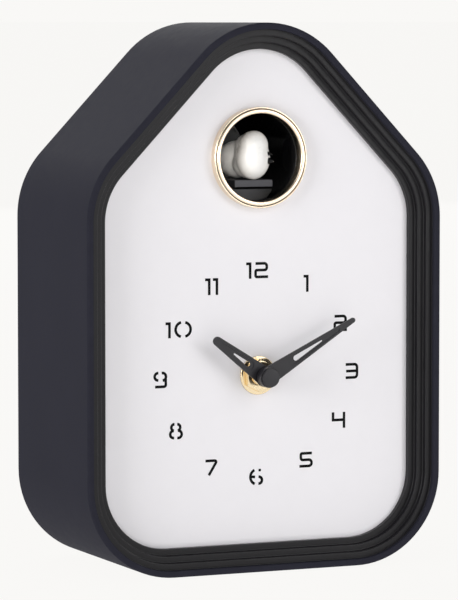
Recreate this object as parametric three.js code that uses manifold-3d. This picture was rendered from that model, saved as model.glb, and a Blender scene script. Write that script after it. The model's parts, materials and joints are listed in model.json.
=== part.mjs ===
// House-shaped cuckoo clock: a moulded case with a stepped front, a white dial plate,
// a ringed bird window with a sliding bird, a quartz movement with its gear trains,
// a sound unit and a two-cell battery bay behind a sliding door.
// Millimetres. +Z up, the dial faces -Y, +X is to the right of someone looking at the dial.
// Origin: middle of the flat bottom, half way through the depth of the case.
import * as THREE from 'three';
import { mergeVertices } from 'three/addons/utils/BufferGeometryUtils.js';
import Module from 'manifold-3d';

const wasm = await Module();
wasm.setup();

// ---------------------------------------------------------------- driving dimensions
const HALF_W = 80.93;          // half width of the case
const SHOULDER_Z = 163.29;     // where wall and roof lines would meet
const PEAK_Z = 248.57;         // where the two roof lines would meet
const R_BASE = 38.8, R_SHOULDER = 39.4, R_PEAK = 41.0;
const Y_FRONT = -40.8, Y_REAR = 40.8;
const STEP_W = 2.757, STEP_D = 2.615;   // one tread and one riser of the stepped front
const Y_PLATE = Y_FRONT + 4 * STEP_D;   // front face of the dial plate
const PLATE_T = 1.5;
const GAP = 0.3;               // running or assembly gap between neighbours
const DIAL_Z = 82.0;           // height of the hand shaft
const WINDOW_Z = 173.65;       // height of the bird window's centre
const WINDOW_R = 18.5;
const RING_R = 21.1, RING_H = 3.8;
const BIRD_TRAVEL = 18;        // how far the bird comes out
const CHASSIS_Y0 = Y_PLATE + PLATE_T + GAP, CHASSIS_T = 1.8;
const MOVE_HALF = 28;          // movement housing, half side
const COVER_Y0 = 36.9, COVER_T = 2.2;   // rear cover
const HOUR_Y = Y_PLATE - 8.0, MINUTE_Y = Y_PLATE - 10.0, HAND_T = 0.8;
const CAP_Y = Y_PLATE - 14.0;
const HOUR_ANGLE = -54.2, MINUTE_ANGLE = 60.4;   // clockwise from twelve, degrees
const CELL_R = 7.25, CELL_L = 50.5;

// ---------------------------------------------------------------- materials
const mat = (color, roughness, metalness = 0) => new THREE.MeshStandardMaterial({ color, roughness, metalness });
const CASE = mat(0x35353d, 0.55), BEZEL = mat(0x2c2c2e, 0.45), BLACK = mat(0x0c0c0d, 0.2), WHITE = mat(0xf0f0f3, 0.35);
const GOLD = mat(0xe8d3a6, 0.2, 1), BRASS = mat(0xd2a560, 0.25, 1), HAND = mat(0x404044, 0.4), STEEL = mat(0xb8babd, 0.3, 1);
const RUBBER = mat(0x161616, 0.9), BIRD = mat(0xf4f4f2, 0.35), GREY = mat(0x55565a, 0.5), NATURAL = mat(0xe9e6dc, 0.4);
const HOUSING = mat(0x1c1c1e, 0.5), COPPER = mat(0xb4683a, 0.35, 1), BOARD = mat(0x1f5a34, 0.5), CELL = mat(0x3a6ea5, 0.35);
const MAGNET = mat(0x3c3c3f, 0.6), CONE = mat(0x22201f, 0.85), FRAME = mat(0x6d7076, 0.4, 1);

// ---------------------------------------------------------------- solids
const V2 = (x, y) => new THREE.Vector2(x, y);
const rad = (d) => d * Math.PI / 180;

function body(geometry) {
  // closed mesh with shared corners, no slivers, faces outward
  let g = geometry.clone();
  g.deleteAttribute('normal');
  g.deleteAttribute('uv');
  g = mergeVertices(g, 1e-4);
  const p = g.attributes.position.array, idx = [];
  for (let i = 0; i < g.index.count; i += 3) {
    const a = g.index.array[i], b = g.index.array[i + 1], c = g.index.array[i + 2];
    if (a !== b && b !== c && c !== a) idx.push(a, b, c);
  }
  let vol = 0;
  for (let i = 0; i < idx.length; i += 3) {
    const [a, b, c] = [idx[i] * 3, idx[i + 1] * 3, idx[i + 2] * 3];
    vol += p[a] * (p[b + 1] * p[c + 2] - p[b + 2] * p[c + 1])
         - p[a + 1] * (p[b] * p[c + 2] - p[b + 2] * p[c])
         + p[a + 2] * (p[b] * p[c + 1] - p[b + 1] * p[c]);
  }
  if (vol < 0) for (let i = 0; i < idx.length; i += 3) [idx[i], idx[i + 1]] = [idx[i + 1], idx[i]];
  return new wasm.Manifold(new wasm.Mesh({
    numProp: 3, vertProperties: new Float32Array(p), triVerts: new Uint32Array(idx),
  }));
}

const join = (...s) => s.reduce((a, b) => a.add(b));
const cut = (a, ...s) => s.reduce((r, b) => r.subtract(b), a);

function toGeometry(solid) {
  const m = solid.getMesh();
  const g = new THREE.BufferGeometry();
  const n = m.numProp, count = m.vertProperties.length / n, pos = new Float32Array(count * 3);
  for (let i = 0; i < count; i++) for (let k = 0; k < 3; k++) pos[i * 3 + k] = m.vertProperties[i * n + k];
  g.setAttribute('position', new THREE.BufferAttribute(pos, 3));
  g.setIndex(new THREE.BufferAttribute(new Uint32Array(m.triVerts), 1));
  g.computeVertexNormals();
  return g;
}

// prism of an outline drawn in X and Z, running from y0 to y1, with holes cut through it
function prism(points, y0, y1, holes = []) {
  const g = new THREE.ExtrudeGeometry(new THREE.Shape(points), { depth: y1 - y0, bevelEnabled: false });
  g.rotateX(Math.PI / 2);
  g.translate(0, y1, 0);
  return cut(body(g), ...holes.map((h) => prism(h, y0 - 1, y1 + 1)));
}
// prism of an outline drawn in Y and Z, running from x0 to x1
function prismX(points, x0, x1, holes = []) {
  const g = new THREE.ExtrudeGeometry(new THREE.Shape(points), { depth: x1 - x0, bevelEnabled: false });
  g.applyMatrix4(new THREE.Matrix4().set(0, 0, 1, x0, 1, 0, 0, 0, 0, 1, 0, 0, 0, 0, 0, 1));
  return cut(body(g), ...holes.map((h) => prismX(h, x0 - 1, x1 + 1)));
}
function block(x0, x1, y0, y1, z0, z1) {
  const g = new THREE.BoxGeometry(x1 - x0, y1 - y0, z1 - z0);
  g.translate((x0 + x1) / 2, (y0 + y1) / 2, (z0 + z1) / 2);
  return body(g);
}
function cylY(r, y0, y1, cx = 0, cz = 0, seg = 20) {
  const g = new THREE.CylinderGeometry(r, r, y1 - y0, seg);
  g.translate(cx, (y0 + y1) / 2, cz);
  return body(g);
}
function cylX(r, x0, x1, cy, cz, seg = 16) {
  const g = new THREE.CylinderGeometry(r, r, x1 - x0, seg);
  g.rotateZ(Math.PI / 2);
  g.translate((x0 + x1) / 2, cy, cz);
  return body(g);
}
// turned part about an axis along Y: profile points are [radius, y]
function turned(profile, cx = 0, cz = 0, seg = 24) {
  const pts = profile.map(([r, y]) => V2(r, y));
  pts.push(pts[0].clone());
  const g = new THREE.LatheGeometry(pts, seg);
  g.translate(cx, 0, cz);
  return body(g);
}
function circle(cx, cz, r, n = 24, a0 = 0) {
  const out = [];
  for (let i = 0; i < n; i++) out.push(V2(cx + r * Math.cos(a0 + 2 * Math.PI * i / n), cz + r * Math.sin(a0 + 2 * Math.PI * i / n)));
  return out;
}

// ---------------------------------------------------------------- outline of the case
// parallel inset of the rounded house shape; every inset has the same number of corners
const SLOPE = Math.atan2(PEAK_Z - SHOULDER_Z, HALF_W);       // roof angle above level
const NORMAL = Math.PI / 2 - SLOPE;                          // direction the right roof faces
function outline(inset) {
  const pts = [];
  const arc = (cx, cz, r, a0, a1, n) => {
    for (let i = 0; i <= n; i++) {
      const a = a0 + (a1 - a0) * i / n;
      pts.push(V2(cx + r * Math.cos(a), cz + r * Math.sin(a)));
    }
  };
  const sx = HALF_W - R_SHOULDER, sz = SHOULDER_Z - R_SHOULDER * Math.tan(NORMAL / 2);
  const pz = PEAK_Z - R_PEAK / Math.cos(SLOPE);
  arc(HALF_W - R_BASE, R_BASE, R_BASE - inset, -Math.PI / 2, 0, 9);
  arc(sx, sz, R_SHOULDER - inset, 0, NORMAL, 5);
  arc(0, pz, R_PEAK - inset, NORMAL, Math.PI - NORMAL, 9);
  arc(-sx, sz, R_SHOULDER - inset, Math.PI - NORMAL, Math.PI, 5);
  arc(-(HALF_W - R_BASE), R_BASE, R_BASE - inset, Math.PI, 1.5 * Math.PI, 9);
  return pts;
}
const band = (outer, inner, y0, y1) => prism(outline(outer), y0, y1, [outline(inner)]);

// ---------------------------------------------------------------- gears
// straight-flanked teeth over a V-shaped gullet, with backlash; phase is the direction of one tooth, in radians
const ADD = 0.6, DED = 1.3, TIP = 0.07;        // in modules, and half the tip's width in pitches
const teeth = (n, m, phase) => {
  const pts = [], rp = n * m / 2, ra = rp + ADD * m, rf = rp - DED * m, p = 2 * Math.PI / n;
  for (let i = 0; i < n; i++) {
    const a = phase + i * p;
    for (const [r, k] of [[ra, -TIP], [ra, TIP], [rf, 0.5]]) pts.push(V2(r * Math.cos(a + k * p), r * Math.sin(a + k * p)));
  }
  return pts;
};
// phase that puts gear B in mesh with gear A, B lying in direction dir from A
const mesh = (nA, phaseA, nB, dir) => {
  const pA = (((dir - phaseA) * nA / (2 * Math.PI)) % 1 + 1) % 1;
  return dir + Math.PI - (2 * Math.PI / nB) * (0.5 - pA);
};
const at = (pts, x, z) => pts.map((p) => V2(p.x + x, p.y + z));
const gearY = (n, m, phase, x, z, y0, y1, bore = 0) =>
  prism(at(teeth(n, m, phase), x, z), y0, y1, bore ? [circle(x, z, bore, 12)] : []);
const gearX = (n, m, phase, y, z, x0, x1, bore = 0) =>
  prismX(at(teeth(n, m, phase), y, z), x0, x1, bore ? [circle(y, z, bore, 12)] : []);

// ---------------------------------------------------------------- the assembly
const clock = new THREE.Group();
const groups = {};
function add(group, name, solid, material) {
  if (!groups[group]) {
    groups[group] = new THREE.Group();
    clock.add(groups[group]);
  }
  const m = new THREE.Mesh(toGeometry(solid), material);
  m.name = name;
  groups[group].add(m);
}

// ---- case -------------------------------------------------------------------
// screw positions of the rear cover, just inside the wall
const roofPoint = (x, inset) => PEAK_Z - x * Math.tan(SLOPE) - inset / Math.cos(SLOPE);
const SCREWS = [[36, 8.0], [-36, 8.0], [74.6, 98], [-74.6, 98], [34, roofPoint(34, 6.6)], [-34, roofPoint(34, 6.6)]];
{
  let shell = band(0, STEP_W, Y_FRONT, Y_REAR);
  shell = join(shell,
    band(STEP_W - 0.3, 9.0, CHASSIS_Y0 + CHASSIS_T + GAP, CHASSIS_Y0 + CHASSIS_T + GAP + 2.0),   // ledge the chassis sits on
    band(STEP_W - 0.3, 5.2, COVER_Y0 - GAP - 2.0, COVER_Y0 - GAP));                              // ledge the rear cover sits on
  for (const [x, z] of SCREWS) shell = join(shell, cylY(4.4, 20, COVER_Y0 - GAP, x, z, 12));
  for (const [x, z] of SCREWS) shell = cut(shell, cylY(1.5, 24, COVER_Y0 + 1, x, z, 8));
  add('case', 'case_shell', shell, CASE);
}
{
  const y = (k) => Y_FRONT + k * STEP_D;
  add('case', 'front_bezel', join(
    band(STEP_W + GAP, 2 * STEP_W, y(1), Y_PLATE + PLATE_T),
    band(STEP_W + GAP, 3 * STEP_W, y(2), Y_PLATE - GAP),
    band(STEP_W + GAP, 4 * STEP_W, y(3), Y_PLATE - GAP)), BEZEL);
}
add('case', 'dial_plate', prism(outline(2 * STEP_W + 0.5), Y_PLATE, Y_PLATE + PLATE_T,
  [circle(0, WINDOW_Z, WINDOW_R + 1.5, 36), circle(0, DIAL_Z, 4.4, 16)]), WHITE);
add('case', 'dial_chassis', prism(outline(STEP_W + GAP), CHASSIS_Y0, CHASSIS_Y0 + CHASSIS_T,
  [circle(0, WINDOW_Z, WINDOW_R + 1.5, 36), circle(0, DIAL_Z, 4.4, 16)]), HOUSING);
{
  const y0 = Y_PLATE - RING_H, y1 = Y_PLATE - GAP;
  add('case', 'window_ring', turned([[WINDOW_R, y0 + 0.5], [WINDOW_R + 0.5, y0], [20.0, y0], [20.5, y0 + 0.6], [20.5, y0 + 2.2],
    [RING_R, y0 + 2.2], [RING_R, y1], [19.6, y1], [19.6, -29.1], [WINDOW_R, -29.1]], 0, WINDOW_Z, 36), GOLD);
}
const TUNNEL_END = 24.0;
{
  const f0 = CHASSIS_Y0 + CHASSIS_T + GAP;
  const sleeve = turned([[WINDOW_R, -28.8], [WINDOW_R, TUNNEL_END], [0, TUNNEL_END], [0, TUNNEL_END + 1.2], [19.7, TUNNEL_END + 1.2],
    [19.7, f0 + 1.5], [24, f0 + 1.5], [24, f0], [19.7, f0], [19.7, -28.8]], 0, WINDOW_Z, 36);
  // lip across the bottom of the mouth, just under the carriage
  const lip = block(-9.5, 8.2, -26.4, -24.9, 150, 160.3).intersect(cylY(19.1, -27, -24, 0, WINDOW_Z, 36));
  // slot in the floor that the carriage's web runs in
  add('case', 'bird_tunnel', join(cut(sleeve, block(-1.9, 1.9, -24.6, 6.8, 150, 158)), lip), BLACK);
}
// rear cover with its openings
const KNOB_Z = DIAL_Z + 20, SPEAKER = [-36, 128], SWITCH = [44, 122], BUTTON = [61, 122];
{
  const slots = [];
  for (let i = -3; i <= 3; i++) {
    const h = Math.sqrt(17 * 17 - (i * 4.6) ** 2), z = SPEAKER[1] + i * 4.6;
    slots.push([V2(SPEAKER[0] - h, z - 1), V2(SPEAKER[0] + h, z - 1), V2(SPEAKER[0] + h, z + 1), V2(SPEAKER[0] - h, z + 1)]);
  }
  const key = [];
  for (let i = 0; i <= 12; i++) { const a = rad(120 + 300 * i / 12); key.push(V2(4.5 * Math.cos(a), 186 + 4.5 * Math.sin(a))); }
  for (let i = 0; i <= 6; i++) { const a = rad(180 * i / 6); key.push(V2(2.2 * Math.cos(a), 195 + 2.2 * Math.sin(a))); }
  const rect = (x0, x1, z0, z1) => [V2(x0, z0), V2(x1, z0), V2(x1, z1), V2(x0, z1)];
  const holes = [
    rect(-28.5, 28.5, 31.4, 64.6), circle(0, KNOB_Z, 10.5, 24), circle(BUTTON[0], BUTTON[1], 3.6, 16),
    rect(SWITCH[0] - 6.3, SWITCH[0] + 6.3, SWITCH[1] - 2.2, SWITCH[1] + 2.2), key, ...slots,
    ...SCREWS.map(([x, z]) => circle(x, z, 1.6, 10)),
  ];
  const ry = COVER_Y0 + COVER_T - 0.1;
  add('case', 'rear_cover', join(prism(outline(STEP_W + GAP), COVER_Y0, COVER_Y0 + COVER_T, holes),
    block(-33.3, 33.3, ry, Y_REAR, 26.4, 28.1), block(-33.3, 33.3, ry + 1.2, Y_REAR, 26.4, 29.6),     // lower rail and its lip
    block(-33.3, 33.3, ry, Y_REAR, 67.9, 69.6), block(-33.3, 33.3, ry + 1.2, Y_REAR, 66.4, 69.6),     // upper rail and its lip
    block(-33.3, -31.8, ry, ry + 1.5, 28.0, 68.0)), CASE);                                            // end stop
}
SCREWS.forEach(([x, z], i) => {
  const y1 = COVER_Y0 + COVER_T + GAP;
  const s = turned([[0, y1 - 12], [1.2, y1 - 11], [1.2, y1], [2.9, y1], [2.9, y1 + 0.6], [2.1, y1 + 1.2], [0, y1 + 1.2]], x, z, 12);
  add('case', `cover_screw_${i + 1}`, cut(s, block(x - 1.6, x + 1.6, y1 + 0.6, y1 + 2, z - 0.3, z + 0.3), block(x - 0.3, x + 0.3, y1 + 0.6, y1 + 2, z - 1.6, z + 1.6)), STEEL);
});

// ---- hand shaft and its fixings ----------------------------------------------
const MOVE_Y0 = CHASSIS_Y0 + CHASSIS_T + 2 * GAP + 1.2, MOVE_Y1 = -12.0;
add('movement', 'rubber_washer', turned([[4.4, MOVE_Y0 - 1.5], [9, MOVE_Y0 - 1.5], [9, MOVE_Y0 - 0.3], [4.4, MOVE_Y0 - 0.3]], 0, DIAL_Z, 20), RUBBER);
add('movement', 'shaft_bushing', turned([[2.8, -36.2], [3.7, -36.2], [4.0, -35.9], [4.0, MOVE_Y0 + 1.8], [6.5, MOVE_Y0 + 1.8], [6.5, MOVE_Y0 + 2.8], [2.8, MOVE_Y0 + 2.8]], 0, DIAL_Z, 20), BRASS);
add('movement', 'shaft_washer', turned([[4.3, Y_PLATE - GAP - 0.8], [8.15, Y_PLATE - GAP - 0.8], [8.15, Y_PLATE - GAP], [4.3, Y_PLATE - GAP]], 0, DIAL_Z, 28), BRASS);
add('movement', 'shaft_nut', prism(circle(0, DIAL_Z, 6 / Math.cos(Math.PI / 6), 6, rad(12)), -34.5, -31.75, [circle(0, DIAL_Z, 4.3, 20)]), BRASS);

// ---- movement housing ----------------------------------------------------------
const MX = 0, MZ = DIAL_Z + 10;               // axis of the motion wheel
const THIRD = [9.45 * Math.cos(rad(200)), DIAL_Z + 9.45 * Math.sin(rad(200))];
const SECOND = [THIRD[0] + 8.925 * Math.cos(rad(250)), THIRD[1] + 8.925 * Math.sin(rad(250))];
const INTER = [SECOND[0] + 7.2 * Math.cos(rad(-20)), SECOND[1] + 7.2 * Math.sin(rad(-20))];
const ROTOR = [INTER[0] + 8.4 * Math.cos(rad(-60)), INTER[1] + 8.4 * Math.sin(rad(-60))];
{
  const sq = (h, c) => {
    const o = [];
    for (const [sx, sz, a] of [[1, -1, -90], [1, 1, 0], [-1, 1, 90], [-1, -1, 180]])
      for (let i = 0; i <= 3; i++) { const t = rad(a + 30 * i); o.push(V2(sx * (h - c) + c * Math.cos(t), DIAL_Z + sz * (h - c) + c * Math.sin(t))); }
    return o;
  };
  let base = cut(prism(sq(MOVE_HALF, 4), MOVE_Y0, MOVE_Y1, []), prism(sq(MOVE_HALF - 1.6, 2.4), MOVE_Y0 + 1.5, MOVE_Y1 + 1, []));
  base = cut(base, cylY(4.4, MOVE_Y0 - 1, MOVE_Y0 + 2, 0, DIAL_Z, 20));
  base = join(base, cylY(0.7, MOVE_Y0 + 1.2, -18.2, MX, MZ, 10));
  add('movement', 'movement_base', base, HOUSING);
  add('movement', 'movement_cover', cut(prism(sq(MOVE_HALF, 4), MOVE_Y1 + GAP, MOVE_Y1 + GAP + 2, []), cylY(2.0, MOVE_Y1, MOVE_Y1 + 4, 0, KNOB_Z, 16)), HOUSING);
}
add('movement', 'coil', join(cylX(4.2, 6.4, 23.6, -17.5, 65.5, 16), cylX(5.0, 5.6, 6.6, -17.5, 65.5, 16), cylX(5.0, 23.4, 24.4, -17.5, 65.5, 16)), COPPER);
add('movement', 'stator', prism([V2(-6, 56), V2(24.2, 56), V2(25.9, 57.7), V2(25.9, 67), V2(24.7, 67), V2(24.7, 59.6), V2(4.6, 59.6), V2(4.6, 65.8), V2(-6, 65.8)],
  -16.9, -15.9, [circle(ROTOR[0], ROTOR[1], 3.8, 14)]), STEEL);
add('movement', 'movement_board', block(10, 26, -14.5, -13.5, 74, 106), BOARD);
{
  const g = new THREE.CylinderGeometry(1.5, 1.5, 7, 12);
  g.rotateX(Math.PI / 2);
  g.translate(18, -16.4, 92);
  add('movement', 'quartz_crystal', body(g), STEEL);
}

// ---- motion work and hands -------------------------------------------------------
const P_CANNON = rad(90), P_MOTION = mesh(10, P_CANNON, 30, rad(90)), P_MPIN = rad(90);
const P_HOUR = mesh(8, P_MPIN, 32, rad(-90)), P_SET = mesh(30, P_MOTION, 10, rad(90));
add('minute', 'minute_arbor', join(cylY(1.6, -40.9, -15.2, 0, DIAL_Z, 16), gearY(10, 0.5, P_CANNON, 0, DIAL_Z, -20.2, -18.4)), BRASS);
add('hour', 'hour_wheel', join(gearY(32, 0.5, P_HOUR, 0, DIAL_Z, -21.8, -20.8, 1.95),
  turned([[1.95, -38.1], [2.5, -38.1], [2.5, -21.0], [1.95, -21.0]], 0, DIAL_Z, 16)), NATURAL);
add('motion', 'motion_wheel', join(gearY(30, 0.5, P_MOTION, MX, MZ, -19.9, -18.9, 1.0), gearY(8, 0.5, P_MPIN, MX, MZ, -22.0, -19.8, 1.0)), NATURAL);
{
  const knob = [];
  for (let i = 0; i < 36; i++) { const a = 2 * Math.PI * i / 36, r = i % 2 ? 8.4 : 9.0; knob.push(V2(r * Math.cos(a), KNOB_Z + r * Math.sin(a))); }
  add('set', 'set_knob', join(gearY(10, 0.5, P_SET, 0, KNOB_Z, -20.2, -18.4), cylY(1.5, -20.6, 34, 0, KNOB_Z, 12), prism(knob, 33.0, 38.9, [])), HOUSING);
}
// a hand lying along +Z from the shaft: outline given as [distance, half width]
function hand(edge, tip, slot, y0, hub0, bore, angle) {
  const right = edge.map(([a, h]) => V2(h, a)), left = edge.map(([a, h]) => V2(-h, a)).reverse();
  const end = [], [ta, tr] = tip;
  for (let i = 1; i < 6; i++) { const t = Math.PI * i / 6; end.push(V2(tr * Math.cos(t), ta + tr * Math.sin(t))); }
  const hole = [];
  for (let i = 0; i <= 6; i++) { const t = Math.PI + Math.PI * i / 6; hole.push(V2(slot[1] * Math.cos(t), slot[0] + slot[1] + slot[1] * Math.sin(t))); }
  hole.push(V2(0.25, slot[2]), V2(-0.25, slot[2]));
  const turn = (p) => { const a = -rad(angle); return V2(p.x * Math.cos(a) - p.y * Math.sin(a), DIAL_Z + p.x * Math.sin(a) + p.y * Math.cos(a)); };
  const blade = prism([...right, ...end, ...left].map(turn), y0, y0 + HAND_T, [hole.map(turn)]);
  return cut(join(blade, cylY(4.2, y0, hub0, 0, DIAL_Z, 24)), cylY(bore, y0 - 1, hub0 + 1, 0, DIAL_Z, 16));
}
add('hour', 'hour_hand', hand([[0, 4.0], [14.0, 2.95], [26.9, 1.92]], [26.9, 1.9], [8.6, 1.0, 17.6], HOUR_Y, HOUR_Y + 1.7, 2.8, HOUR_ANGLE), HAND);
add('minute', 'minute_hand', hand([[0, 3.99], [14, 3.09], [30, 2.05], [45.7, 1.04]], [45.7, 1.04],
  [14.2, 1.15, 29.4], MINUTE_Y, MINUTE_Y + 1.5, 1.9, MINUTE_ANGLE), HAND);
add('minute', 'hand_cap', turned([[0, CAP_Y], [3.4, CAP_Y], [3.8, CAP_Y + 0.4], [3.8, MINUTE_Y - GAP], [1.9, MINUTE_Y - GAP], [1.9, -42.2], [0, -42.2]], 0, DIAL_Z, 24), BLACK);

// ---- going train -------------------------------------------------------------------
const P_ROTOR = rad(120), P_IWHEEL = mesh(6, P_ROTOR, 36, rad(120)), P_IPIN = rad(160);
const P_SWHEEL = mesh(6, P_IPIN, 30, rad(160)), P_SPIN = rad(70);
const P_TWHEEL = mesh(6, P_SPIN, 45, rad(70)), P_TPIN = rad(20), P_CENTRE = mesh(6, P_TPIN, 48, rad(20));
add('rotor', 'rotor', join(gearY(6, 0.4, P_ROTOR, ...ROTOR, -20.0, -18.3), cylY(0.6, -20.6, -13.0, ...ROTOR, 8), cylY(3.2, -17.9, -14.9, ...ROTOR, 14)), MAGNET);
add('train', 'intermediate_wheel', join(gearY(36, 0.4, P_IWHEEL, ...INTER, -19.6, -18.9), cylY(0.6, -20.6, -13.0, ...INTER, 8), gearY(6, 0.4, P_IPIN, ...INTER, -18.0, -16.3)), NATURAL);
add('train', 'seconds_wheel', join(gearY(30, 0.4, P_SWHEEL, ...SECOND, -17.4, -16.7), cylY(0.5, -18.3, -13.0, ...SECOND, 8), gearY(6, 0.35, P_SPIN, ...SECOND, -15.1, -13.7)), NATURAL);
add('train', 'third_wheel', join(gearY(45, 0.35, P_TWHEEL, ...THIRD, -14.7, -14.0), cylY(0.5, -18.3, -13.0, ...THIRD, 8), gearY(6, 0.35, P_TPIN, ...THIRD, -16.5, -15.0)), NATURAL);
add('train', 'centre_wheel', join(gearY(48, 0.35, P_CENTRE, 0, DIAL_Z, -16.2, -15.4, 1.95),
  turned([[1.95, -17.6], [3.0, -17.6], [3.0, -15.2], [1.95, -15.2]], 0, DIAL_Z, 12)), NATURAL);

// ---- bird and its drive ---------------------------------------------------------------
{
  const egg = (rx, ry, rz, y, z, seg, rings) => {
    const g = new THREE.SphereGeometry(1, seg, rings);
    g.rotateX(Math.PI / 2);
    g.scale(rx, ry, rz);
    g.translate(0, y, z);
    return body(g);
  };
  // head, breast and back, in one moulding
  add('bird', 'bird_figure', cut(join(egg(6.1, 6.2, 6.1, -26.3, 178.6, 16, 10), egg(7.2, 7.1, 9.0, -25.6, 173.1, 16, 12),
    egg(7.3, 19.5, 8.2, -10.3, 172.0, 18, 14)), block(-12, 12, -40, 15, 150, 164.3)), BIRD);
  // the head looks a little to the bird's left, so the beak leaves the breast on that side
  const beak = new THREE.ConeGeometry(2.6, 3.2, 12);
  beak.scale(0.62, 1, 1);
  beak.rotateZ(Math.PI + rad(51));
  beak.translate(5.51, -30.99, 173.1);
  add('bird', 'bird_beak', cut(body(beak), egg(7.5, 7.4, 9.3, -25.6, 173.1, 36, 24)), HAND);
}
const RACK_Z = 147.0, GEAR_Y = 2.0, GEAR_Z = RACK_Z - 4.8;
const MOTOR_Y = GEAR_Y + 11.25 * Math.cos(rad(-31.5)), MOTOR_Z = GEAR_Z + 11.25 * Math.sin(rad(-31.5));
const P_PINION = rad(90), P_BIG = rad(0), P_MOTOR = mesh(36, P_BIG, 9, rad(-31.5));
{
  const m = 0.8, p = Math.PI * m, y0 = -6, y1 = 26, bar = [];
  bar.push(V2(y1, 151.5), V2(y0, 151.5), V2(y0, RACK_Z + DED * m));
  // the gap between two rack teeth stands over the gear's tooth
  const first = Math.ceil((y0 + 0.5 * p - GEAR_Y) / p - 0.5);
  for (let k = first; GEAR_Y + (k + 1) * p < y1; k++) {
    const c = GEAR_Y + (k + 0.5) * p;
    bar.push(V2(c - TIP * p, RACK_Z - ADD * m), V2(c + TIP * p, RACK_Z - ADD * m), V2(c + 0.5 * p, RACK_Z + DED * m));
  }
  add('bird', 'bird_carriage', join(prismX(bar, -2.5, 2.5), block(-1.25, 1.25, -6, 6, 151, 162), block(-8.7, 8.7, -26.4, 3, 161.1, 164.0)), GREY);
}
add('drive', 'drive_gear', join(gearX(12, 0.8, P_PINION, GEAR_Y, GEAR_Z, -2.3, 2.6, 1.35), gearX(36, 0.5, P_BIG, GEAR_Y, GEAR_Z, 2.55, 4.8, 1.35),
  cut(cylX(2.4, -4.6, -2.1, GEAR_Y, GEAR_Z, 12), cylX(1.35, -5, -2, GEAR_Y, GEAR_Z, 12))), NATURAL);
add('motor', 'motor_pinion', join(gearX(9, 0.5, P_MOTOR, MOTOR_Y, MOTOR_Z, 2.4, 5.0), cylX(0.9, 4.6, 8.75, MOTOR_Y, MOTOR_Z, 10)), BRASS);
{
  const y0 = CHASSIS_Y0 + CHASSIS_T + GAP;
  let f = join(block(-6.9, 8.7, y0, 23, 126.5, 128), block(-6.9, 8.7, y0, y0 + 1.5, 127, 145.8),
    block(-6.9, -5.3, -9, 23, 127, 152.3), block(7.2, 8.7, -9, 23, 127, 152.3));
  f = cut(f, cylX(1.3, -8, 10, GEAR_Y, GEAR_Z, 12), cylX(1.5, 6, 10, MOTOR_Y, MOTOR_Z, 12));
  add('case', 'bird_drive_frame', f, FRAME);
  add('case', 'gear_axle', cylX(1.0, -7.4, 9.0, GEAR_Y, GEAR_Z, 12), STEEL);
}
{
  const can = cylX(10, 9.05, 29, MOTOR_Y, MOTOR_Z, 24);
  const s = cut(can, block(8, 30, MOTOR_Y - 11, MOTOR_Y + 11, MOTOR_Z + 7.7, MOTOR_Z + 12), block(8, 30, MOTOR_Y - 11, MOTOR_Y + 11, MOTOR_Z - 12, MOTOR_Z - 7.7));
  add('case', 'bird_motor', join(s, cylX(3.2, 28.8, 31, MOTOR_Y, MOTOR_Z, 12)), STEEL);
}

// ---- sound unit --------------------------------------------------------------------------
{
  const [x, z] = SPEAKER;
  add('case', 'speaker_frame', turned([[20, 36.6], [20, 34.8], [18.6, 34.8], [10.4, 27.6], [8.4, 27.6], [8.4, 28.6], [9.8, 28.6], [17.4, 36.0], [17.4, 36.6]], x, z, 24), FRAME);
  add('case', 'speaker_cone', turned([[0, 30.4], [5.6, 29.0], [8.8, 29.0], [16.8, 36.5], [16.2, 36.5], [8.6, 29.5], [5.8, 29.5], [0, 30.9]], x, z, 24), CONE);
  add('case', 'speaker_magnet', turned([[0, 21.6], [9.2, 21.6], [9.2, 27.3], [0, 27.3]], x, z, 20), MAGNET);
}
add('case', 'sound_board', block(32, 70, 29.0, 30.4, 108, 150), BOARD);
add('case', 'sound_chip', block(46, 60, 26.4, 28.7, 134, 142), BLACK);
{
  const [x, z] = SWITCH;
  add('case', 'switch_body', cut(block(x - 8, x + 8, 30.7, 35.8, z - 3.6, z + 3.6), block(x - 6, x + 6, 33.0, 37, z - 1.9, z + 1.9)), STEEL);
  add('switch', 'sound_switch', join(block(x - 1.9, x + 1.9, 33.4, 37, z - 1.5, z + 1.5), block(x - 1.5, x + 1.5, 36.5, 40.0, z - 1.5, z + 1.5)), BLACK);
}
{
  const [x, z] = BUTTON;
  add('case', 'button_contact', block(x - 3.1, x + 3.1, 30.7, 33.5, z - 3.1, z + 3.1), STEEL);
  add('button', 'test_button', turned([[0, 35.4], [4.4, 35.4], [4.4, 36.6], [3.2, 36.6], [3.2, 39.8], [2.8, 40.2], [0, 40.2]], x, z, 16), BLACK);
}

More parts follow.
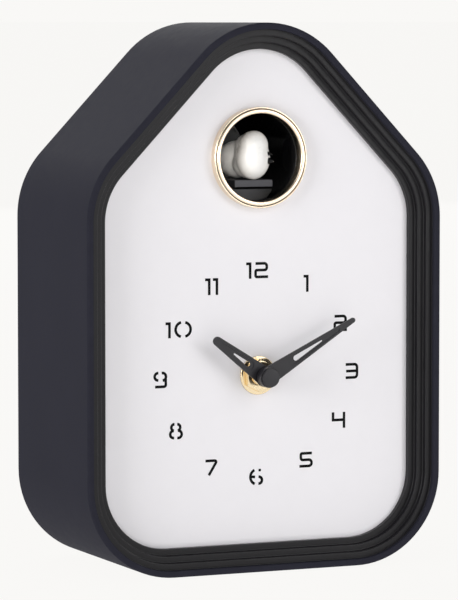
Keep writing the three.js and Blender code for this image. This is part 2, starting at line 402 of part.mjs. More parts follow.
// ---- batteries -----------------------------------------------------------------------------
const CELL_Y = 28.6, CELL_Z = [39.9, 56.1];
add('case', 'battery_box', cut(block(-30.3, 30.3, 18.9, 36.6, 29.6, 66.4), block(-28.6, 28.6, 20.5, 38, 31.2, 64.8)), HOUSING);
CELL_Z.forEach((z, i) => {
  const dir = i ? -1 : 1;      // the two cells lie head to tail
  const h = CELL_L / 2;
  const nub = dir > 0 ? cylX(2.7, h - 2.2, h, CELL_Y, z, 12) : cylX(2.7, -h, -h + 2.2, CELL_Y, z, 12);
  const can = dir > 0 ? cylX(CELL_R, -h, h - 1.6, CELL_Y, z, 20) : cylX(CELL_R, -h + 1.6, h, CELL_Y, z, 20);
  add('case', `battery_cell_${i + 1}`, join(can, nub), CELL);
});
{
  const strip = (x0, x1) => block(x0, x1, 21.5, 34.5, 33, 63);
  const bump = (x0, x1, z) => cylX(3.2, x0, x1, CELL_Y, z, 10);
  add('case', 'contact_strip_left', join(strip(-28.2, -27.7), bump(-27.8, -25.6, CELL_Z[0]), bump(-27.8, -25.6, CELL_Z[1])), STEEL);
  add('case', 'contact_strip_right', join(strip(27.7, 28.2), bump(25.6, 27.8, CELL_Z[0]), bump(25.6, 27.8, CELL_Z[1])), STEEL);
}
{
  // thin edges run under the lips of the rear cover's rails
  const y0 = COVER_Y0 + COVER_T + GAP;
  add('door', 'battery_door', join(block(-31.5, 31.5, y0, y0 + 0.5, 28.4, 67.6), block(-31.5, 31.5, y0, y0 + 1.1, 30.2, 65.8)), CASE);
}

export default clock;
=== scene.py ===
import json
import math
import bpy
import bmesh
from mathutils import Vector, Matrix


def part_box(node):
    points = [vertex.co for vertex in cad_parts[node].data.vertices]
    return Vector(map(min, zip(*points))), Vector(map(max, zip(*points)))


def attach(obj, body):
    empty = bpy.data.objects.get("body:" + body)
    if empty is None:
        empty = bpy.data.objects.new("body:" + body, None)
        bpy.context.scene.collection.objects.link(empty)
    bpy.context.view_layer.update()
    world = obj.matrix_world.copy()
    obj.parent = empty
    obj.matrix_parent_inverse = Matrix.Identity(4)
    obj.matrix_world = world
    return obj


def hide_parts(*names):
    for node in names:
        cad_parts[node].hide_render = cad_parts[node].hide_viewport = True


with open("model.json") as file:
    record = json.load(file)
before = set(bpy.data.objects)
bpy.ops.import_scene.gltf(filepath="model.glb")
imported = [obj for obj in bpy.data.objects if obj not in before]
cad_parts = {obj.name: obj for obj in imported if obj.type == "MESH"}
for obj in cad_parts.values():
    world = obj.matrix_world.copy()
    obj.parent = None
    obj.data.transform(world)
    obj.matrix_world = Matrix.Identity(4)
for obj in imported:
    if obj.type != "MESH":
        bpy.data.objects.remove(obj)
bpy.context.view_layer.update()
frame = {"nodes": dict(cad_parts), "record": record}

MM = 0.001
scene = bpy.context.scene
NODES = frame["nodes"]
BODY_OF = {n: b for b, ns in frame["record"]["behaviour"]["bodies"].items() for n in ns}
SLOT_OF = {s["node"]: s["material_slot"] for s in frame["record"]["subparts"]}

# ---- driving sizes, millimetres -------------------------------------------------
HALF_W, SHOULDER_Z, PEAK_Z = 80.93, 163.29, 248.57
R_BASE, R_SHOULDER, R_PEAK = 38.8, 39.4, 41.0
Y_FRONT, Y_REAR, Y_PLATE = -40.8, 40.8, -30.34
STEP_W, STEP_D = 2.757, 2.615
DIAL_Z, WINDOW_Z, WINDOW_R = 82.0, 173.65, 18.5
SLOPE = math.atan2(PEAK_Z - SHOULDER_Z, HALF_W)
NORMAL = math.pi / 2 - SLOPE


# ---- mesh helpers ------------------------------------------------------------------
def new_object(name, bm, smooth=35.0):
    bmesh.ops.recalc_face_normals(bm, faces=bm.faces)
    me = bpy.data.meshes.new(name)
    bm.to_mesh(me)
    bm.free()
    ob = bpy.data.objects.new(name, me)
    scene.collection.objects.link(ob)
    finish_shading(ob, smooth)
    return ob


def finish_shading(ob, angle=35.0):
    me = ob.data
    me.shade_smooth()
    if angle:
        me.set_sharp_from_angle(angle=math.radians(angle))


def apply_modifiers(ob):
    dg = bpy.context.evaluated_depsgraph_get()
    dg.update()
    me = bpy.data.meshes.new_from_object(ob.evaluated_get(dg), depsgraph=dg)
    old = ob.data
    ob.modifiers.clear()
    ob.data = me
    me.name = ob.name
    if old.users == 0:
        bpy.data.meshes.remove(old)


def boolean(ob, other, op="DIFFERENCE", keep=False, solver="MANIFOLD"):
    m = ob.modifiers.new("b", "BOOLEAN")
    m.operation = op
    m.object = other
    m.solver = solver
    apply_modifiers(ob)
    if not keep:
        me = other.data
        bpy.data.objects.remove(other)
        bpy.data.meshes.remove(me)
    return ob


def prism(name, ring, y0, y1, smooth=35.0):
    """An (x, z) outline drawn out along Y."""
    bm = bmesh.new()
    a = [bm.verts.new((x * MM, y0 * MM, z * MM)) for x, z in ring]
    b = [bm.verts.new((x * MM, y1 * MM, z * MM)) for x, z in ring]
    n = len(ring)
    bm.faces.new(a)
    bm.faces.new(b[::-1])
    for i in range(n):
        j = (i + 1) % n
        bm.faces.new((a[i], b[i], b[j], a[j]))
    return new_object(name, bm, smooth)


def lathe(name, profile, cx=0.0, cz=0.0, segments=96, smooth=35.0, closed=False):
    """A (radius, y) profile turned about a line along Y. Open profiles start and end on the axis."""
    bm = bmesh.new()
    rows = []
    for r, y in profile:
        if r < 1e-6:
            rows.append([bm.verts.new((cx * MM, y * MM, cz * MM))])
        else:
            rows.append([bm.verts.new(((cx + r * math.cos(2 * math.pi * k / segments)) * MM, y * MM,
                                       (cz + r * math.sin(2 * math.pi * k / segments)) * MM)) for k in range(segments)])
    pairs = list(zip(rows, rows[1:]))
    if closed:
        pairs.append((rows[-1], rows[0]))
    for p, q in pairs:
        for k in range(segments):
            j = (k + 1) % segments
            if len(p) == 1:
                bm.faces.new((p[0], q[k], q[j]))
            elif len(q) == 1:
                bm.faces.new((p[k], p[j], q[0]))
            else:
                bm.faces.new((p[k], p[j], q[j], q[k]))
    return new_object(name, bm, smooth)


def fillet(points, radii, n=6, closed=True):
    """Rounds the corners of a polyline: radii is one number or one per point."""
    out = []
    m = len(points)
    if not isinstance(radii, (list, tuple)):
        radii = [radii] * m
    for i in range(m):
        p = Vector(points[i])
        r = radii[i]
        if r <= 0 or (not closed and i in (0, m - 1)):
            out.append(tuple(p))
            continue
        a = Vector(points[(i - 1) % m]) - p
        b = Vector(points[(i + 1) % m]) - p
        la, lb = a.length, b.length
        a.normalize()
        b.normalize()
        cosang = max(-1.0, min(1.0, a.dot(b)))
        ang = math.acos(cosang)
        if ang > math.pi - 0.02 or ang < 0.02:
            out.append(tuple(p))
            continue
        d = min(r / math.tan(ang / 2), la * 0.49, lb * 0.49)
        rr = d * math.tan(ang / 2)
        c = p + (a + b).normalized() * (rr / math.sin(ang / 2))
        v0 = (p + a * d) - c
        v1 = (p + b * d) - c
        a0 = math.atan2(v0.y, v0.x)
        a1 = math.atan2(v1.y, v1.x)
        da = a1 - a0
        while da > math.pi:
            da -= 2 * math.pi
        while da < -math.pi:
            da += 2 * math.pi
        for k in range(n + 1):
            t = a0 + da * k / n
            out.append((c.x + rr * math.cos(t), c.y + rr * math.sin(t)))
    return out


def support(points, gap=0.06, closed=True):
    """Adds points close to both ends of each long straight so that flats stay flat when shaded smooth."""
    out = []
    m = len(points)
    for i in range(m):
        p = Vector(points[i])
        out.append(tuple(p))
        if not closed and i == m - 1:
            break
        q = Vector(points[(i + 1) % m])
        d = q - p
        if d.length > gap * 8:
            u = d.normalized() * gap
            out.append(tuple(p + u))
            out.append(tuple(q - u))
    return out


def house(inset, nb=22, ns=14, npk=24):
    """The house outline, inset millimetres inside the case's outside; the same count of points for every inset."""
    pts = []

    def arc(cx, cz, r, a0, a1, n):
        for k in range(n + 1):
            t = a0 + (a1 - a0) * k / n
            pts.append((cx + r * math.cos(t), cz + r * math.sin(t)))

    zs = SHOULDER_Z - R_SHOULDER * math.tan(NORMAL / 2)
    zp = PEAK_Z - R_PEAK / math.cos(SLOPE)
    arc(HALF_W - R_BASE, R_BASE, R_BASE - inset, -math.pi / 2, 0, nb)
    arc(HALF_W - R_SHOULDER, zs, R_SHOULDER - inset, 0, NORMAL, ns)
    arc(0, zp, R_PEAK - inset, NORMAL, math.pi - NORMAL, npk)
    arc(-(HALF_W - R_SHOULDER), zs, R_SHOULDER - inset, math.pi - NORMAL, math.pi, ns)
    arc(-(HALF_W - R_BASE), R_BASE, R_BASE - inset, math.pi, math.pi * 1.5, nb)
    out = []
    m = len(pts)
    for i in range(m):
        p = Vector(pts[i])
        q = Vector(pts[(i + 1) % m])
        out.append(tuple(p))
        if (q - p).length > 12:
            u = (q - p).normalized()
            for d in (0.8, 4.0):
                out.append(tuple(p + u * d))
            out.append(tuple((p + q) / 2))
            for d in (4.0, 0.8):
                out.append(tuple(q - u * d))
    return out


def sweep(name, profile, smooth=35.0):
    """A closed (inset, y) profile carried round the house outline."""
    bm = bmesh.new()
    rows = []
    for inset, y in profile:
        rows.append([bm.verts.new((x * MM, y * MM, z * MM)) for x, z in house(inset)])
    n = len(rows[0])
    m = len(rows)
    for i in range(m):
        a, b = rows[i], rows[(i + 1) % m]
        for k in range(n):
            j = (k + 1) % n
            bm.faces.new((a[k], a[j], b[j], b[k]))
    return new_object(name, bm, smooth)


def join_objects(name, obs):
    bm = bmesh.new()
    for o in obs:
        bm.from_mesh(o.data)
    me = bpy.data.meshes.new(name)
    bm.to_mesh(me)
    bm.free()
    for o in obs:
        d = o.data
        bpy.data.objects.remove(o)
        bpy.data.meshes.remove(d)
    ob = bpy.data.objects.new(name, me)
    scene.collection.objects.link(ob)
    finish_shading(ob)
    return ob


def place(ob, body, mat, slot, *nodes):
    ob.data.materials.clear()
    ob.data.materials.append(mat)
    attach(ob, body)
    if nodes:
        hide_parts(*nodes)
    return ob


def softened(node, width=0.25, segments=2, name=None, angle=32.0, mat=None):
    """A CAD piece with its edges broken by a small bevel, standing for that piece."""
    src = NODES[node]
    bm = bmesh.new()
    bm.from_mesh(src.data)
    bmesh.ops.remove_doubles(bm, verts=bm.verts, dist=2e-6)
    bmesh.ops.dissolve_limit(bm, angle_limit=math.radians(0.6), verts=bm.verts, edges=bm.edges)
    for f in bm.faces:
        f.smooth = True
    ob = new_object(name or node + "_soft", bm, angle)
    m = ob.modifiers.new("bevel", "BEVEL")
    m.width = width * MM
    m.segments = segments
    m.limit_method = "ANGLE"
    m.angle_limit = math.radians(angle)
    m.use_clamp_overlap = True
    m.harden_normals = False
    m.miter_outer = "MITER_ARC"
    w = ob.modifiers.new("wn", "WEIGHTED_NORMAL")
    w.keep_sharp = True
    w.weight = 50
    apply_modifiers(ob)
    return place(ob, BODY_OF[node], mat or MAT[SLOT_OF[node]], SLOT_OF[node], node)


# ---- materials --------------------------------------------------------------------------
def lin(r, g, b):
    f = lambda c: ((c / 255 + 0.055) / 1.055) ** 2.4 if c / 255 > 0.04045 else c / 255 / 12.92
    return (f(r), f(g), f(b), 1.0)


def scaled(c, k):
    return (min(1, c[0] * k), min(1, c[1] * k), min(1, c[2] * k), 1.0)


def surface(name, colour, rough=0.45, rough_var=0.06, metallic=0.0, var=0.08, var_scale=90.0, grain=900.0, bump=0.06,
            bump_mm=0.02, coat=0.0, coat_rough=0.1, ior=1.5, spec=0.5, stretch=None, second=None, sheen=0.0, mottle=None):
    """A procedural surface: two noises vary the colour, one varies the roughness, a fine one gives the moulded or brushed grain."""
    m = bpy.data.materials.new(name)
    m.use_nodes = True
    nt = m.node_tree
    nt.nodes.clear()
    out = nt.nodes.new("ShaderNodeOutputMaterial")
    bs = nt.nodes.new("ShaderNodeBsdfPrincipled")
    nt.links.new(bs.outputs[0], out.inputs[0])
    tc = nt.nodes.new("ShaderNodeTexCoord")
    mp = nt.nodes.new("ShaderNodeMapping")
    nt.links.new(tc.outputs["Object"], mp.inputs["Vector"])
    if stretch:
        mp.inputs["Scale"].default_value = stretch
    n1 = nt.nodes.new("ShaderNodeTexNoise")
    n1.inputs["Scale"].default_value = var_scale
    n1.inputs["Detail"].default_value = 4.0
    nt.links.new(mp.outputs[0], n1.inputs["Vector"])
    ramp = nt.nodes.new("ShaderNodeValToRGB")
    ramp.color_ramp.elements[0].position = 0.3
    ramp.color_ramp.elements[1].position = 0.7
    ramp.color_ramp.elements[0].color = scaled(colour, 1 - var)
    ramp.color_ramp.elements[1].color = second or scaled(colour, 1 + var)
    nt.links.new(n1.outputs["Fac"], ramp.inputs["Fac"])
    col = ramp.outputs["Color"]
    if mottle:
        n3 = nt.nodes.new("ShaderNodeTexNoise")
        n3.inputs["Scale"].default_value = mottle[0]
        n3.inputs["Detail"].default_value = 2.0
        nt.links.new(mp.outputs[0], n3.inputs["Vector"])
        mr3 = nt.nodes.new("ShaderNodeMapRange")
        mr3.inputs["From Min"].default_value = 0.35
        mr3.inputs["From Max"].default_value = 0.65
        mr3.inputs["To Min"].default_value = 1 - mottle[1]
        mr3.inputs["To Max"].default_value = 1 + mottle[1]
        nt.links.new(n3.outputs["Fac"], mr3.inputs["Value"])
        mul = nt.nodes.new("ShaderNodeVectorMath")
        mul.operation = "SCALE"
        nt.links.new(col, mul.inputs[0])
        nt.links.new(mr3.outputs[0], mul.inputs["Scale"])
        col = mul.outputs[0]
    nt.links.new(col, bs.inputs["Base Color"])
    n2 = nt.nodes.new("ShaderNodeTexNoise")
    n2.inputs["Scale"].default_value = grain
    n2.inputs["Detail"].default_value = 3.0
    nt.links.new(mp.outputs[0], n2.inputs["Vector"])
    mr = nt.nodes.new("ShaderNodeMapRange")
    mr.inputs["From Min"].default_value = 0.3
    mr.inputs["From Max"].default_value = 0.7
    mr.inputs["To Min"].default_value = max(0.02, rough - rough_var)
    mr.inputs["To Max"].default_value = min(1.0, rough + rough_var)
    nt.links.new(n1.outputs["Fac"], mr.inputs["Value"])
    nt.links.new(mr.outputs[0], bs.inputs["Roughness"])
    if bump > 0:
        bp = nt.nodes.new("ShaderNodeBump")
        bp.inputs["Strength"].default_value = bump
        bp.inputs["Distance"].default_value = bump_mm * MM
        nt.links.new(n2.outputs["Fac"], bp.inputs["Height"])
        nt.links.new(bp.outputs[0], bs.inputs["Normal"])
    bs.inputs["Metallic"].default_value = metallic
    bs.inputs["IOR"].default_value = ior
    bs.inputs["Specular IOR Level"].default_value = spec
    bs.inputs["Coat Weight"].default_value = coat
    bs.inputs["Coat Roughness"].default_value = coat_rough
    if sheen:
        bs.inputs["Sheen Weight"].default_value = sheen
        bs.inputs["Sheen Roughness"].default_value = 0.5
    return m


MAT = {
    "case_plastic": surface("case_plastic", lin(43, 43, 52), 0.62, 0.04, var=0.06, var_scale=260, grain=1500, bump=0.3, bump_mm=0.03, mottle=(38, 0.02), spec=0.12, ior=1.2),
    "bezel_plastic": surface("bezel_plastic", lin(27, 26, 29), 0.34, 0.05, var=0.06, var_scale=200, grain=1800, bump=0.15, bump_mm=0.02, spec=0.26),
    "dial_white": surface("dial_white", lin(238, 236, 240), 0.55, 0.04, var=0.006, var_scale=120, grain=2500, bump=0.05, bump_mm=0.01),
    "gold_trim": surface("gold_trim", lin(249, 232, 208), 0.2, 0.04, metallic=1.0, var=0.03, var_scale=60, grain=1200, bump=0.03, bump_mm=0.01),
    "brass_fittings": surface("brass_fittings", lin(248, 228, 190), 0.16, 0.05, metallic=1.0, var=0.05, var_scale=150, grain=1500, bump=0.08, bump_mm=0.01),
    "gloss_black": surface("gloss_black", lin(12, 12, 14), 0.10, 0.03, var=0.1, var_scale=60, grain=600, bump=0.02, bump_mm=0.01, coat=0.3, coat_rough=0.05),
    "hand_grey": surface("hand_grey", lin(37, 36, 40), 0.38, 0.05, var=0.05, var_scale=300, grain=2500, bump=0.12, bump_mm=0.01, spec=0.4),
    "bird_white": surface("bird_white", lin(226, 225, 223), 0.28, 0.05, var=0.01, var_scale=120, grain=500, bump=0.04, bump_mm=0.02),
    "carriage_grey": surface("carriage_grey", lin(60, 60, 66), 0.5, 0.05, var=0.06, var_scale=200, grain=1500, bump=0.15, bump_mm=0.02),
    "gear_natural": surface("gear_natural", lin(232, 228, 214), 0.4, 0.05, var=0.02, var_scale=150, grain=900, bump=0.05),
    "housing_black": surface("housing_black", lin(38, 38, 40), 0.5, 0.06, var=0.08, var_scale=180, grain=1200, bump=0.25, bump_mm=0.03),
    "steel": surface("steel", lin(196, 198, 202), 0.28, 0.07, metallic=1.0, var=0.06, var_scale=120, grain=1500, bump=0.1, bump_mm=0.01),
    "copper_wire": surface("copper_wire", lin(196, 120, 70), 0.3, 0.06, metallic=1.0, var=0.12, var_scale=60, grain=500, bump=0.6, bump_mm=0.1, stretch=(12, 1, 1)),
    "board_green": surface("board_green", lin(34, 98, 60), 0.35, 0.08, var=0.18, var_scale=300, grain=700, bump=0.1, coat=0.3, coat_rough=0.15),
    "cell_sleeve": surface("cell_sleeve", lin(58, 96, 140), 0.25, 0.05, metallic=0.35, var=0.08, var_scale=60, grain=600, bump=0.05, coat=0.4),
    "magnet_dark": surface("magnet_dark", lin(70, 70, 72), 0.55, 0.08, var=0.15, var_scale=250, grain=900, bump=0.3, bump_mm=0.04),
    "cone_paper": surface("cone_paper", lin(54, 53, 51), 0.85, 0.06, var=0.2, var_scale=350, grain=900, bump=0.6, bump_mm=0.06),
    "frame_steel": surface("frame_steel", lin(150, 152, 156), 0.38, 0.08, metallic=1.0, var=0.08, var_scale=100, grain=1200, bump=0.15, bump_mm=0.02),
    "rubber": surface("rubber", lin(34, 34, 34), 0.75, 0.06, var=0.12, var_scale=250, grain=900, bump=0.3, bump_mm=0.03),
}
# painted shade: near-black colour for the numerals, standing for the dark seen through the cut-outs in the plate
NUMERAL_PAINTED_SHADE = surface("numeral_painted_shade", lin(12, 12, 14), 0.7, 0.06, var=0.15, var_scale=500, grain=2500, bump=0.1, bump_mm=0.01, spec=0.1)
BEAK = surface("beak_black", lin(10, 10, 11), 0.1, 0.03, var=0.1, var_scale=200, grain=900, bump=0.03, bump_mm=0.01, spec=0.25)
LIP_PAINTED_SHADE = surface("lip_grey_painted_shade", lin(58, 58, 61), 0.5, 0.05, var=0.06, var_scale=200, grain=1500, bump=0.15, bump_mm=0.02, spec=0.3)
nt = LIP_PAINTED_SHADE.node_tree                                              # painted shade: the lip's colour darkens towards the bird's left, standing for the shade that falls there inside the tunnel
shader = next(nd for nd in nt.nodes if nd.type == "BSDF_PRINCIPLED")
src = shader.inputs["Base Color"].links[0].from_socket
sep = nt.nodes.new("ShaderNodeSeparateXYZ")
painted_shade_ramp = nt.nodes.new("ShaderNodeMapRange")
painted_shade_ramp.inputs["From Min"].default_value = -0.004
painted_shade_ramp.inputs["From Max"].default_value = 0.006
painted_shade_ramp.inputs["To Min"].default_value = 1.0
painted_shade_ramp.inputs["To Max"].default_value = 0.08
painted_shade_scale = nt.nodes.new("ShaderNodeVectorMath")
painted_shade_scale.operation = "SCALE"
nt.links.new(next(nd for nd in nt.nodes if nd.type == "TEX_COORD").outputs["Object"], sep.inputs[0])
nt.links.new(sep.outputs["X"], painted_shade_ramp.inputs["Value"])
nt.links.new(src, painted_shade_scale.inputs[0])
nt.links.new(painted_shade_ramp.outputs[0], painted_shade_scale.inputs["Scale"])
nt.links.new(painted_shade_scale.outputs[0], shader.inputs["Base Color"])
# painted shadow: a near-black material meant to stand for the shade behind the speaker grille; no object is given it
GRILLE_PAINTED_SHADOW = surface("grille_shadow", lin(20, 20, 21), 0.8, 0.05, var=0.2, var_scale=500, grain=1500, bump=0.5)

for n, ob in NODES.items():
    m = MAT[SLOT_OF[n]]
    if len(ob.material_slots):
        for s in ob.material_slots:
            s.material = m
    else:
        ob.data.materials.append(m)

# ---- case shell -----------------------------------------------------------------------------
SCREWS = [(36, 8), (-36, 8), (74.6, 98), (-74.6, 98), (34, 203.15), (-34, 203.15)]
shell_profile = fillet(
    [(0, Y_FRONT), (0, Y_REAR), (STEP_W, Y_REAR), (STEP_W, 36.6), (5.2, 36.6), (5.2, 34.6), (STEP_W, 34.6),
     (STEP_W, -24.44), (9.0, -24.44), (9.0, -26.44), (STEP_W, -26.44), (STEP_W, Y_FRONT)],
    [1.0, 0.9, 0.3, 0, 0.2, 0.2, 0, 0, 0.2, 0.2, 0, 0.42], n=5)
shell = sweep("shell_body", support(shell_profile))
place(shell, "case", MAT["case_plastic"], "case_plastic", "case_shell")
bosses = []
for i, (x, z) in enumerate(SCREWS):
    bosses.append(lathe("boss%d" % i, [(0, 20), (3.9, 20), (4.4, 20.5), (4.4, 36.5), (1.5, 36.5), (1.3, 36.2), (1.3, 24), (0, 24)], x, z, 32))
bosses = join_objects("shell_bosses", bosses)
place(bosses, "case", MAT["case_plastic"], "case_plastic")

# ---- stepped front ------------------------------------------------------------------------------
i1, i2, i3, i4 = STEP_W, STEP_W * 2, STEP_W * 3, STEP_W * 4
y1, y2, y3 = Y_FRONT + STEP_D, Y_FRONT + 2 * STEP_D, Y_FRONT + 3 * STEP_D
bezel_profile = fillet(
    [(i1 + 0.02, y1 - 0.45), (i1 + 0.02, y1), (i2, y1), (i2, y2), (i3, y2), (i3, y3), (i4, y3), (i4, Y_PLATE - 0.01),
     (i3 + 0.2, Y_PLATE - 0.01), (i3 - 0.1, Y_PLATE - 0.3), (i2 + 0.3, Y_PLATE - 0.3), (i2, -28.84), (i1 + 0.3, -28.84), (i1 + 0.3, y1 + 0.6), (i1 + 0.02, y1 + 0.3)],
    [0, 0.42, 0.42, 0.42, 0.42, 0.42, 0.42, 0.1, 0, 0, 0, 0.2, 0.2, 0, 0], n=5)
bezel = sweep("stepped_front", support(bezel_profile))
place(bezel, "case", MAT["bezel_plastic"], "bezel_plastic", "front_bezel")

# ---- window ring and tunnel --------------------------------------------------------------------
RY = -34.14
ring_profile = fillet(
    [(18.5, -29.1), (18.5, RY), (20.2, RY), (20.2, RY + 1.3), (20.55, RY + 1.3), (20.55, RY + 0.25), (21.2, RY + 0.25), (21.2, Y_PLATE - 0.02),
     (19.6, Y_PLATE - 0.02), (19.6, -29.1)],
    [0.15, 0.55, 0.4, 0.05, 0.05, 0.2, 0.4, 0.05, 0, 0.15], n=6)
ring = lathe("window_bezel_ring", ring_profile, 0, WINDOW_Z, 144, closed=True)
place(ring, "case", MAT["gold_trim"], "gold_trim", "window_ring")
# painted shade: a gloss-black filling at the bottom of the ring's groove darkens the line between its two gold bands
groove = lathe("ring_groove_painted_shade", [(20.19, RY + 0.45), (20.56, RY + 0.45), (20.56, RY + 1.25), (20.19, RY + 1.25)], 0, WINDOW_Z, 144, closed=True)
place(groove, "case", BEAK, "gloss_black")

tunnel_profile = fillet(
    [(0, 24), (18.5, 24), (18.5, -28.85), (19.7, -28.85), (19.7, -26.44), (24, -26.44), (24, -24.94), (19.7, -24.94), (19.7, 25.2), (0, 25.2)],
    [0, 1.2, 0.25, 0.25, 0.1, 0.3, 0.3, 0.1, 0.4, 0], n=5, closed=False)
tunnel = lathe("tunnel_lining", tunnel_profile, 0, WINDOW_Z, 128)
slot_ring = fillet([(-1.9, -24.6), (1.9, -24.6), (1.9, 6.8), (-1.9, 6.8)], 1.2, n=5)
bm = bmesh.new()
lo = [bm.verts.new((x * MM, y * MM, 150 * MM)) for x, y in slot_ring]
hi = [bm.verts.new((x * MM, y * MM, 160 * MM)) for x, y in slot_ring]
bm.faces.new(lo[::-1])
bm.faces.new(hi)
for k in range(len(lo)):
    j = (k + 1) % len(lo)
    bm.faces.new((lo[k], lo[j], hi[j], hi[k]))
boolean(tunnel, new_object("slot_cut", bm))
finish_shading(tunnel, 30)
place(tunnel, "case", MAT["gloss_black"], "gloss_black", "bird_tunnel")


# ---- hands ----------------------------------------------------------------------------------------
def hand_outline(stations, tip_r, tip_at, hub_r, n=12):
    """Half widths along the hand, closed round the tip and the hub, pointing up +v."""
    right = []
    for d, w in stations:
        if d > 0:
            right.append((w, d))
    pts = list(right)
    for k in range(1, n):
        t = math.pi * k / n
        pts.append((tip_r * math.cos(t), tip_at + tip_r * math.sin(t)))
    pts += [(-w, d) for w, d in right[::-1]]
    a_end = math.asin(min(1, 0))
    first = right[0]
    start = math.atan2(first[1], -first[0])
    end = math.atan2(first[1], first[0]) + 2 * math.pi
    m = 36
    for k in range(1, m):
        t = start + (end - start) * k / m
        pts.append((hub_r * math.cos(t), hub_r * math.sin(t)))
    return pts


def turned_to(points, degrees):
    a = math.radians(degrees)
    c, s = math.cos(a), math.sin(a)
    return [(u * c + v * s, DIAL_Z - u * s + v * c) for u, v in points]


def smooth_stations(st, n=8):
    out = []
    for (d0, w0), (d1, w1) in zip(st, st[1:]):
        out.append((d0, w0))
    out.append(st[-1])
    return out


def capsule(w0, w1, a, b, n=10):
    """A long slot from distance a to b whose half width goes from w0 to w1, ends round."""
    pts = []
    for k in range(n + 1):
        t = math.pi + math.pi * k / n
        pts.append((w0 * math.cos(t), a + w0 + w0 * math.sin(t)))
    for k in range(n + 1):
        t = math.pi * k / n
        pts.append((w1 * math.cos(t), b - w1 + w1 * math.sin(t)))
    return pts


def bevelled(ob, width, segments=3, angle=40):
    bm = bmesh.new()
    bm.from_mesh(ob.data)
    bmesh.ops.remove_doubles(bm, verts=bm.verts, dist=1e-7)
    bmesh.ops.dissolve_limit(bm, angle_limit=math.radians(0.3), verts=bm.verts, edges=bm.edges)
    bm.to_mesh(ob.data)
    bm.free()
    m = ob.modifiers.new("bevel", "BEVEL")
    m.width = width * MM
    m.segments = segments
    m.limit_method = "ANGLE"
    m.angle_limit = math.radians(angle)
    m.use_clamp_overlap = True
    w = ob.modifiers.new("wn", "WEIGHTED_NORMAL")
    w.keep_sharp = False
    w.weight = 50
    apply_modifiers(ob)
    return ob


def make_hand(name, stations, tip_r, tip_at, hub_r, y0, y1, hub_to, slot, recess, degrees, body, node, bore):
    blade = prism(name, turned_to(hand_outline(stations, tip_r, tip_at, hub_r), degrees), y0, y1)
    floor_y = y0 + 0.38
    rec = prism("rec", turned_to(capsule(*recess), degrees), y0 - 1, floor_y)
    boolean(blade, rec)
    cutter = prism("slot", turned_to(capsule(*slot), degrees), y0 - 1, y1 + 1)
    boolean(blade, cutter)
    hole = lathe("hole", [(0, y0 - 2), (bore, y0 - 2), (bore, y1 + 2), (0, y1 + 2)], 0, DIAL_Z, 40)
    boolean(blade, hole)
    bevelled(blade, 0.11, 3)
    place(blade, body, MAT["hand_grey"], "hand_grey", node)
    collar = lathe(name + "_collar", fillet([(bore, y1 - 0.3), (hub_r - 0.2, y1 - 0.3), (hub_r - 0.2, y1), (3.5, y1), (3.5, hub_to), (bore, hub_to)],
                                            [0, 0, 0.1, 0.1, 0.18, 0.1], n=4), 0, DIAL_Z, 64, closed=True)
    place(collar, body, MAT["gloss_black"], "gloss_black")
    return blade


make_hand("hour_hand_blade", [[1.5, 3.95], [4, 3.73], [8, 3.41], [14, 2.94], [20, 2.47], [26.9, 1.92]], 1.9, 26.9, 4.25,
          -38.34, -37.54, -36.64, (1.0, 0.36, 8.6, 17.6), (2.15, 1.05, 6.8, 24.8), -54.2, "hour_set", "hour_hand", 2.6)
make_hand("minute_hand_blade", [[1.5, 3.9], [4, 3.73], [8, 3.47], [14, 3.09], [20, 2.70], [30, 2.05], [38, 1.54], [45.78, 1.06]], 1.06, 45.78, 4.25,
          -40.34, -39.54, -38.84, (1.17, 0.32, 14.2, 29.4), (2.0, 0.7, 11.8, 38.6), 60.4, "minute_set", "minute_hand", 1.65)

cap = lathe("hand_cap_turned", fillet([(0, -44.34), (3.88, -44.34), (3.88, -43.72), (3.0, -43.66), (3.0, -43.1), (4.25, -43.1), (4.25, -40.64), (0, -40.64)],
                                      [0, 0.28, 0.15, 0.08, 0.08, 0.3, 0.12, 0], n=5, closed=False), 0, DIAL_Z, 96)
place(cap, "minute_set", MAT["hand_grey"], "hand_grey", "hand_cap")

# ---- threaded bushing, washer and nut ---------------------------------------------------------------
thread = [(2.8, -36.2), (3.55, -36.2)]
y = -36.1
while y < -28.0:
    thread += [(3.62, y), (4.0, y + 0.28), (4.0, y + 0.36), (3.62, y + 0.64)]
    y += 0.75
thread += [(4.0, -27.7), (4.0, -24.95), (2.8, -24.95)]
b_lo, b_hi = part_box("shaft_bushing")
thread = [(r, min(yy, b_hi.y / MM)) for r, yy in thread]
bushing = lathe("threaded_bushing", thread, 0, DIAL_Z, 64, closed=True, smooth=50)
place(bushing, "case", MAT["brass_fittings"], "brass_fittings", "shaft_bushing")
washer = lathe("brass_washer", fillet([(4.15, -31.44), (8.15, -31.44), (8.15, -30.64), (4.15, -30.64)], [0.1, 0.3, 0.1, 0.1], n=4), 0, DIAL_Z, 80, closed=True)
place(washer, "case", MAT["brass_fittings"], "brass_fittings", "shaft_washer")
hexr = 6.25 / math.cos(math.pi / 6)
nut = prism("hex_nut", [(hexr * math.cos(math.radians(34 + 60 * k)), DIAL_Z + hexr * math.sin(math.radians(34 + 60 * k))) for k in range(6)], -34.5, -31.75)
dome = lathe("dome", [(0, -34.5), (6.0, -34.5), (7.2, -33.85), (7.2, -32.2), (6.6, -31.75), (0, -31.75)], 0, DIAL_Z, 96)
boolean(nut, dome, "INTERSECT")
boolean(nut, lathe("bore", [(0, -36), (4.05, -36), (4.05, -30), (0, -30)], 0, DIAL_Z, 48))
bevelled(nut, 0.12, 2, 25)
finish_shading(nut, 25)
place(nut, "case", MAT["brass_fittings"], "brass_fittings", "shaft_nut")


# ---- numerals, cut through the plate: a thin near-black sheet of painted shade stands for the dark seen through them ---
STROKE = 1.16 / 2
SHADE_SHEET_Y0, SHADE_SHEET_Y1 = Y_PLATE - 0.06, Y_PLATE + 0.02


